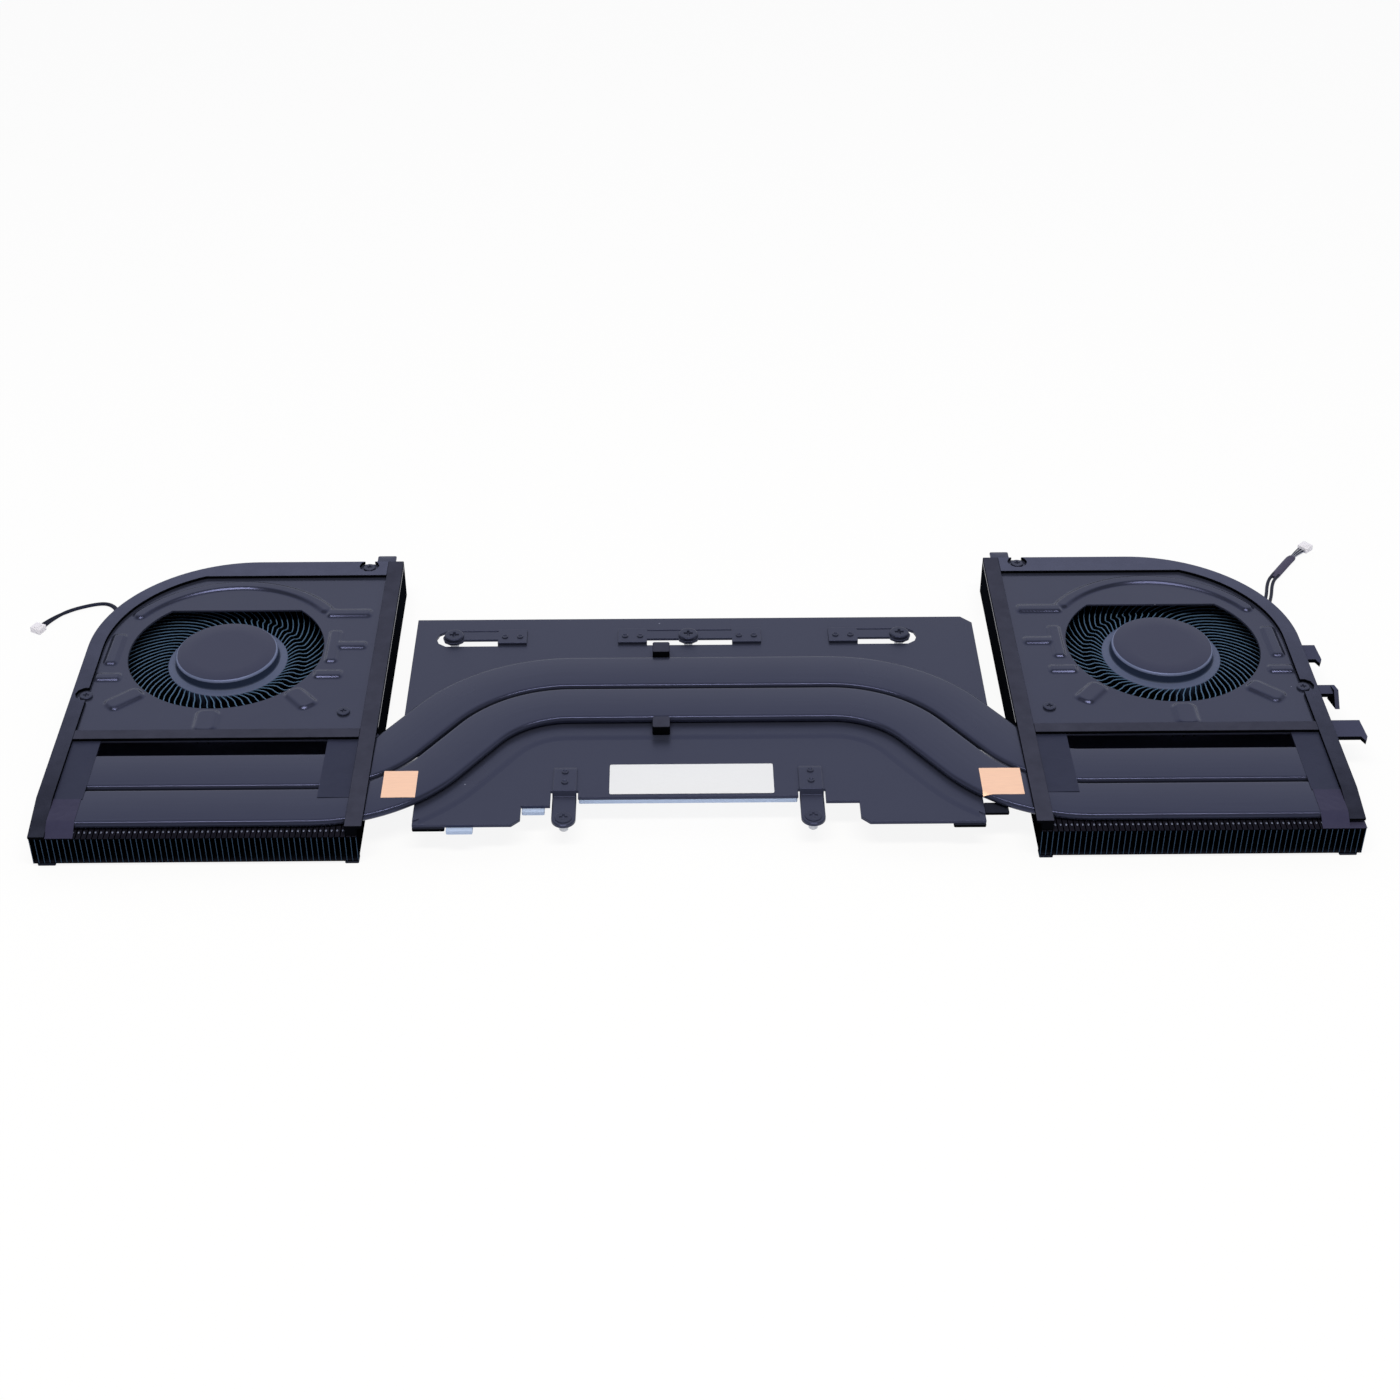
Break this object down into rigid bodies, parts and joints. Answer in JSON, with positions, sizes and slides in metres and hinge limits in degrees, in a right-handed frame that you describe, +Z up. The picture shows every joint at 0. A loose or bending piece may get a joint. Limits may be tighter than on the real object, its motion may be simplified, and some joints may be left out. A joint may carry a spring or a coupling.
{
  "type": "laptop cooling fan heatsink",
  "caption": "Laptop cooling module: blowers with fin stacks at the sides, joined by flat bent heat pipes over a stamped base plate with spring screws.",
  "frame": {"origin": "middle of the underside of the object's box, measured without the fan leads", "axes": "+X across the two fans, to the side with the hooks; +Y from the fins to the fans' rear; +Z up, out of the fans' inlets"},
  "size_m": [0.3797, 0.1453, 0.0122],
  "materials": {
    "black_sheet": "satin black paint with a blue cast",
    "black_pipe": "satin black paint over a flattened copper tube",
    "black_fins": "thin black-coated fins",
    "housing": "black moulded tray",
    "rotor": "black moulded hub and thin black blades",
    "foam": "black foam strip",
    "film": "thin black film",
    "black_screw": "black-coated steel",
    "copper": "bare copper",
    "thermal_pad": "soft pale blue pad",
    "label": "blank white sticker",
    "lead": "black sleeve",
    "plug": "white moulded plug",
    "shaft": "ground steel",
    "bearing": "sintered bearing",
    "stator": "stacked steel core",
    "magnet": "bonded magnet strip"
  },
  "bodies": {
    "module": {"left_fan_housing": "housing", "left_fan_cover": "black_sheet", "left_bearing_tube": "bearing", "left_stator": "stator", "left_fin_stack": "black_fins", "left_outer_gasket": "foam", "left_inner_gasket": "foam", "left_cross_gasket": "foam", "left_inner_film": "film", "left_outer_film": "film", "left_end_tape": "film", "left_cover_screws": "black_screw", "left_fan_lead": "lead", "left_lead_plug": "plug", "left_copper_foil": "copper", "right_fan_housing": "housing", "right_fan_cover": "black_sheet", "right_bearing_tube": "bearing", "right_stator": "stator", "right_fin_stack": "black_fins", "right_outer_gasket": "foam", "right_inner_gasket": "foam", "right_cross_gasket": "foam", "right_inner_film": "film", "right_outer_film": "film", "right_end_tape": "film", "right_cover_screws": "black_screw", "right_fan_lead": "lead", "right_lead_plug": "plug", "right_copper_foil": "copper", "rear_heat_pipe": "black_pipe", "front_heat_pipe": "black_pipe", "base_plate": "black_sheet", "left_rear_spring": "black_sheet", "centre_rear_spring": "black_sheet", "right_rear_spring": "black_sheet", "left_front_arm": "black_sheet", "right_front_arm": "black_sheet", "captive_screws": "black_screw", "spring_rivets": "black_screw", "left_contact_block": "copper", "right_contact_block": "copper", "thermal_pads": "thermal_pad", "edge_pads": "foam", "blank_label": "label", "rear_foam_block": "foam", "front_foam_block": "foam"},
    "left_rotor": {"left_impeller": "rotor", "left_magnet_ring": "magnet", "left_motor_shaft": "shaft"},
    "right_rotor": {"right_impeller": "rotor", "right_magnet_ring": "magnet", "right_motor_shaft": "shaft"}
  },
  "joints": [
    {"name": "left_fan_spin", "type": "hinge", "parent": "module", "child": "left_rotor", "pos_m": [-0.1341, 0.01535, 0], "axis": [0, 0, 1], "continuous": true},
    {"name": "right_fan_spin", "type": "hinge", "parent": "module", "child": "right_rotor", "pos_m": [0.1253, 0.01535, 0], "axis": [0, 0, 1], "continuous": true}
  ]
}
